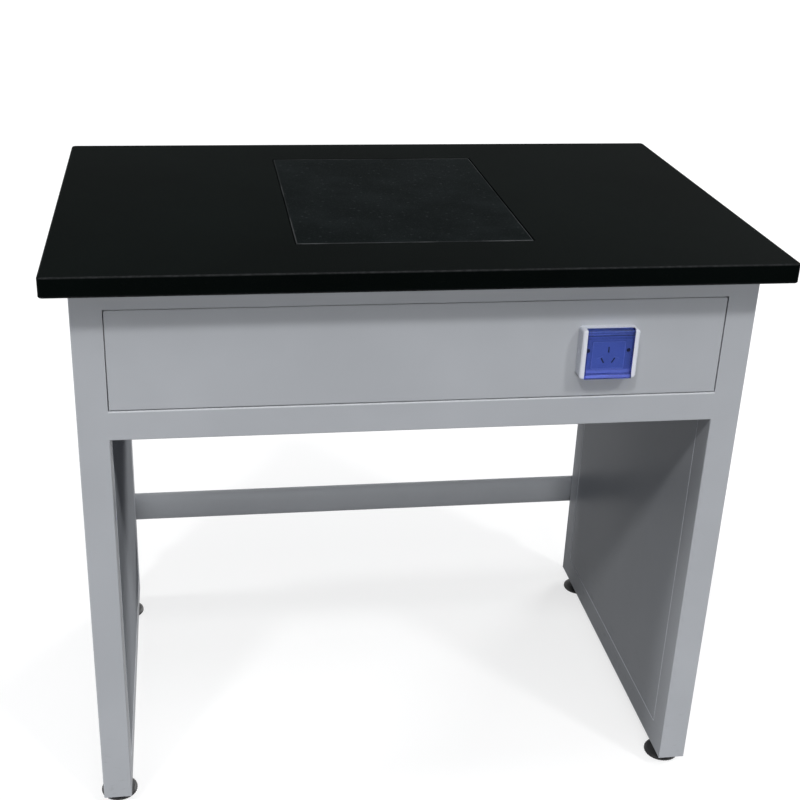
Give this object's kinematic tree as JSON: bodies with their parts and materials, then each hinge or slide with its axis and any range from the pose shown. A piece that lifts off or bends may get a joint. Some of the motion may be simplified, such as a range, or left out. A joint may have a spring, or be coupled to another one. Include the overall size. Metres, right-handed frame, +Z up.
{
  "type": "weighing balance table",
  "caption": "Steel laboratory table with a black worktop, an inset stone slab on rubber isolators, a lidded mains socket in the apron, a rear crossbar and levelling feet.",
  "frame": {"origin": "on the floor, under the middle of the worktop", "axes": "+X to the user's right, +Y to the back, +Z up; the socket faces -Y"},
  "size_m": [0.9, 0.6, 0.8],
  "materials": {
    "powder_coat": "satin powder coat",
    "worktop_black": "matt solid laboratory board",
    "granite": "honed black granite",
    "rubber": "plain",
    "zinc_steel": "zinc plated",
    "black_steel": "black passivated",
    "black_plastic": "moulded",
    "white_plastic": "moulded",
    "grey_plastic": "moulded",
    "blue_clear": "clear tinted polycarbonate",
    "brass": "plain",
    "lead_sheath": "round flexible sheath"
  },
  "bodies": {
    "frame": {"beam_bolts": "zinc_steel", "beam_end_plates": "powder_coat", "cable_gland": "black_plastic", "crossbar": "powder_coat", "crossbar_bolts": "zinc_steel", "crossbar_caps": "black_plastic", "crossbar_nuts": "zinc_steel", "crossbar_saddles": "powder_coat", "foot_bushes": "zinc_steel", "front_lower_rail": "powder_coat", "front_panel": "powder_coat", "front_post_left": "powder_coat", "front_post_right": "powder_coat", "front_top_rail": "powder_coat", "inner_skin_left": "powder_coat", "inner_skin_right": "powder_coat", "internal_lead": "lead_sheath", "isolator_beam_front": "powder_coat", "isolator_beam_rear": "powder_coat", "isolator_nuts": "zinc_steel", "isolator_studs": "zinc_steel", "junction_box": "grey_plastic", "lead_clips": "grey_plastic", "outer_skin_left": "powder_coat", "outer_skin_right": "powder_coat", "panel_brackets": "powder_coat", "panel_screws": "zinc_steel", "rear_lower_rail": "powder_coat", "rear_panel": "powder_coat", "rear_post_left": "powder_coat", "rear_post_right": "powder_coat", "rear_top_rail": "powder_coat", "side_bottom_rail_left": "powder_coat", "side_bottom_rail_right": "powder_coat", "side_top_rail_left": "powder_coat", "side_top_rail_right": "powder_coat", "socket_back_box": "grey_plastic", "socket_base": "white_plastic", "socket_contacts": "brass", "socket_faceplate": "white_plastic", "socket_hinge_pin": "zinc_steel", "socket_module": "white_plastic", "socket_screws": "black_steel", "worktop": "worktop_black", "worktop_brackets": "powder_coat", "worktop_screws": "zinc_steel"},
    "slab_carrier": {"balance_slab": "granite", "slab_pads": "rubber", "slab_tray": "powder_coat", "isolator_screws": "zinc_steel", "isolator_rubbers": "rubber"},
    "lid": {"socket_lid": "blue_clear"},
    "foot_front_left": {"foot_pad_front_left": "black_plastic"},
    "foot_screw_front_left": {"foot_stem_front_left": "zinc_steel"},
    "foot_front_right": {"foot_pad_front_right": "black_plastic"},
    "foot_screw_front_right": {"foot_stem_front_right": "zinc_steel"},
    "foot_rear_left": {"foot_pad_rear_left": "black_plastic"},
    "foot_screw_rear_left": {"foot_stem_rear_left": "zinc_steel"},
    "foot_rear_right": {"foot_pad_rear_right": "black_plastic"},
    "foot_screw_rear_right": {"foot_stem_rear_right": "zinc_steel"}
  },
  "joints": [
    {"name": "slab_float", "type": "slide", "parent": "frame", "child": "slab_carrier", "axis": [0, 0, 1], "range_m": [-0.003, 0.001], "stiffness_N_per_m": 60000, "springref_m": 0.00211, "deforming": ["isolator_rubbers"]},
    {"name": "lid_hinge", "type": "hinge", "parent": "frame", "child": "lid", "pos_m": [0.2305, -0.271, 0.706], "axis": [-1, 0, 0], "range_deg": [0, 110]},
    {"name": "foot_height_front_left", "type": "slide", "parent": "frame", "child": "foot_front_left", "axis": [0, 0, -1], "range_m": [0, 0.02]},
    {"name": "foot_turn_front_left", "type": "hinge", "parent": "foot_front_left", "child": "foot_screw_front_left", "pos_m": [-0.402, -0.217, 0.03], "axis": [0, 0, -1], "range_deg": [0, 4801]},
    {"name": "foot_height_front_right", "type": "slide", "parent": "frame", "child": "foot_front_right", "axis": [0, 0, -1], "range_m": [0, 0.02]},
    {"name": "foot_turn_front_right", "type": "hinge", "parent": "foot_front_right", "child": "foot_screw_front_right", "pos_m": [0.402, -0.217, 0.03], "axis": [0, 0, -1], "range_deg": [0, 4801]},
    {"name": "foot_height_rear_left", "type": "slide", "parent": "frame", "child": "foot_rear_left", "axis": [0, 0, -1], "range_m": [0, 0.02]},
    {"name": "foot_turn_rear_left", "type": "hinge", "parent": "foot_rear_left", "child": "foot_screw_rear_left", "pos_m": [-0.402, 0.235, 0.03], "axis": [0, 0, -1], "range_deg": [0, 4801]},
    {"name": "foot_height_rear_right", "type": "slide", "parent": "frame", "child": "foot_rear_right", "axis": [0, 0, -1], "range_m": [0, 0.02]},
    {"name": "foot_turn_rear_right", "type": "hinge", "parent": "foot_rear_right", "child": "foot_screw_rear_right", "pos_m": [0.402, 0.235, 0.03], "axis": [0, 0, -1], "range_deg": [0, 4801]}
  ],
  "couplings": [
    {"joint": "foot_turn_front_left", "follows": "foot_height_front_left", "rad_per_m": 4188.8},
    {"joint": "foot_turn_front_right", "follows": "foot_height_front_right", "rad_per_m": 4188.8},
    {"joint": "foot_turn_rear_left", "follows": "foot_height_rear_left", "rad_per_m": 4188.8},
    {"joint": "foot_turn_rear_right", "follows": "foot_height_rear_right", "rad_per_m": 4188.8}
  ]
}
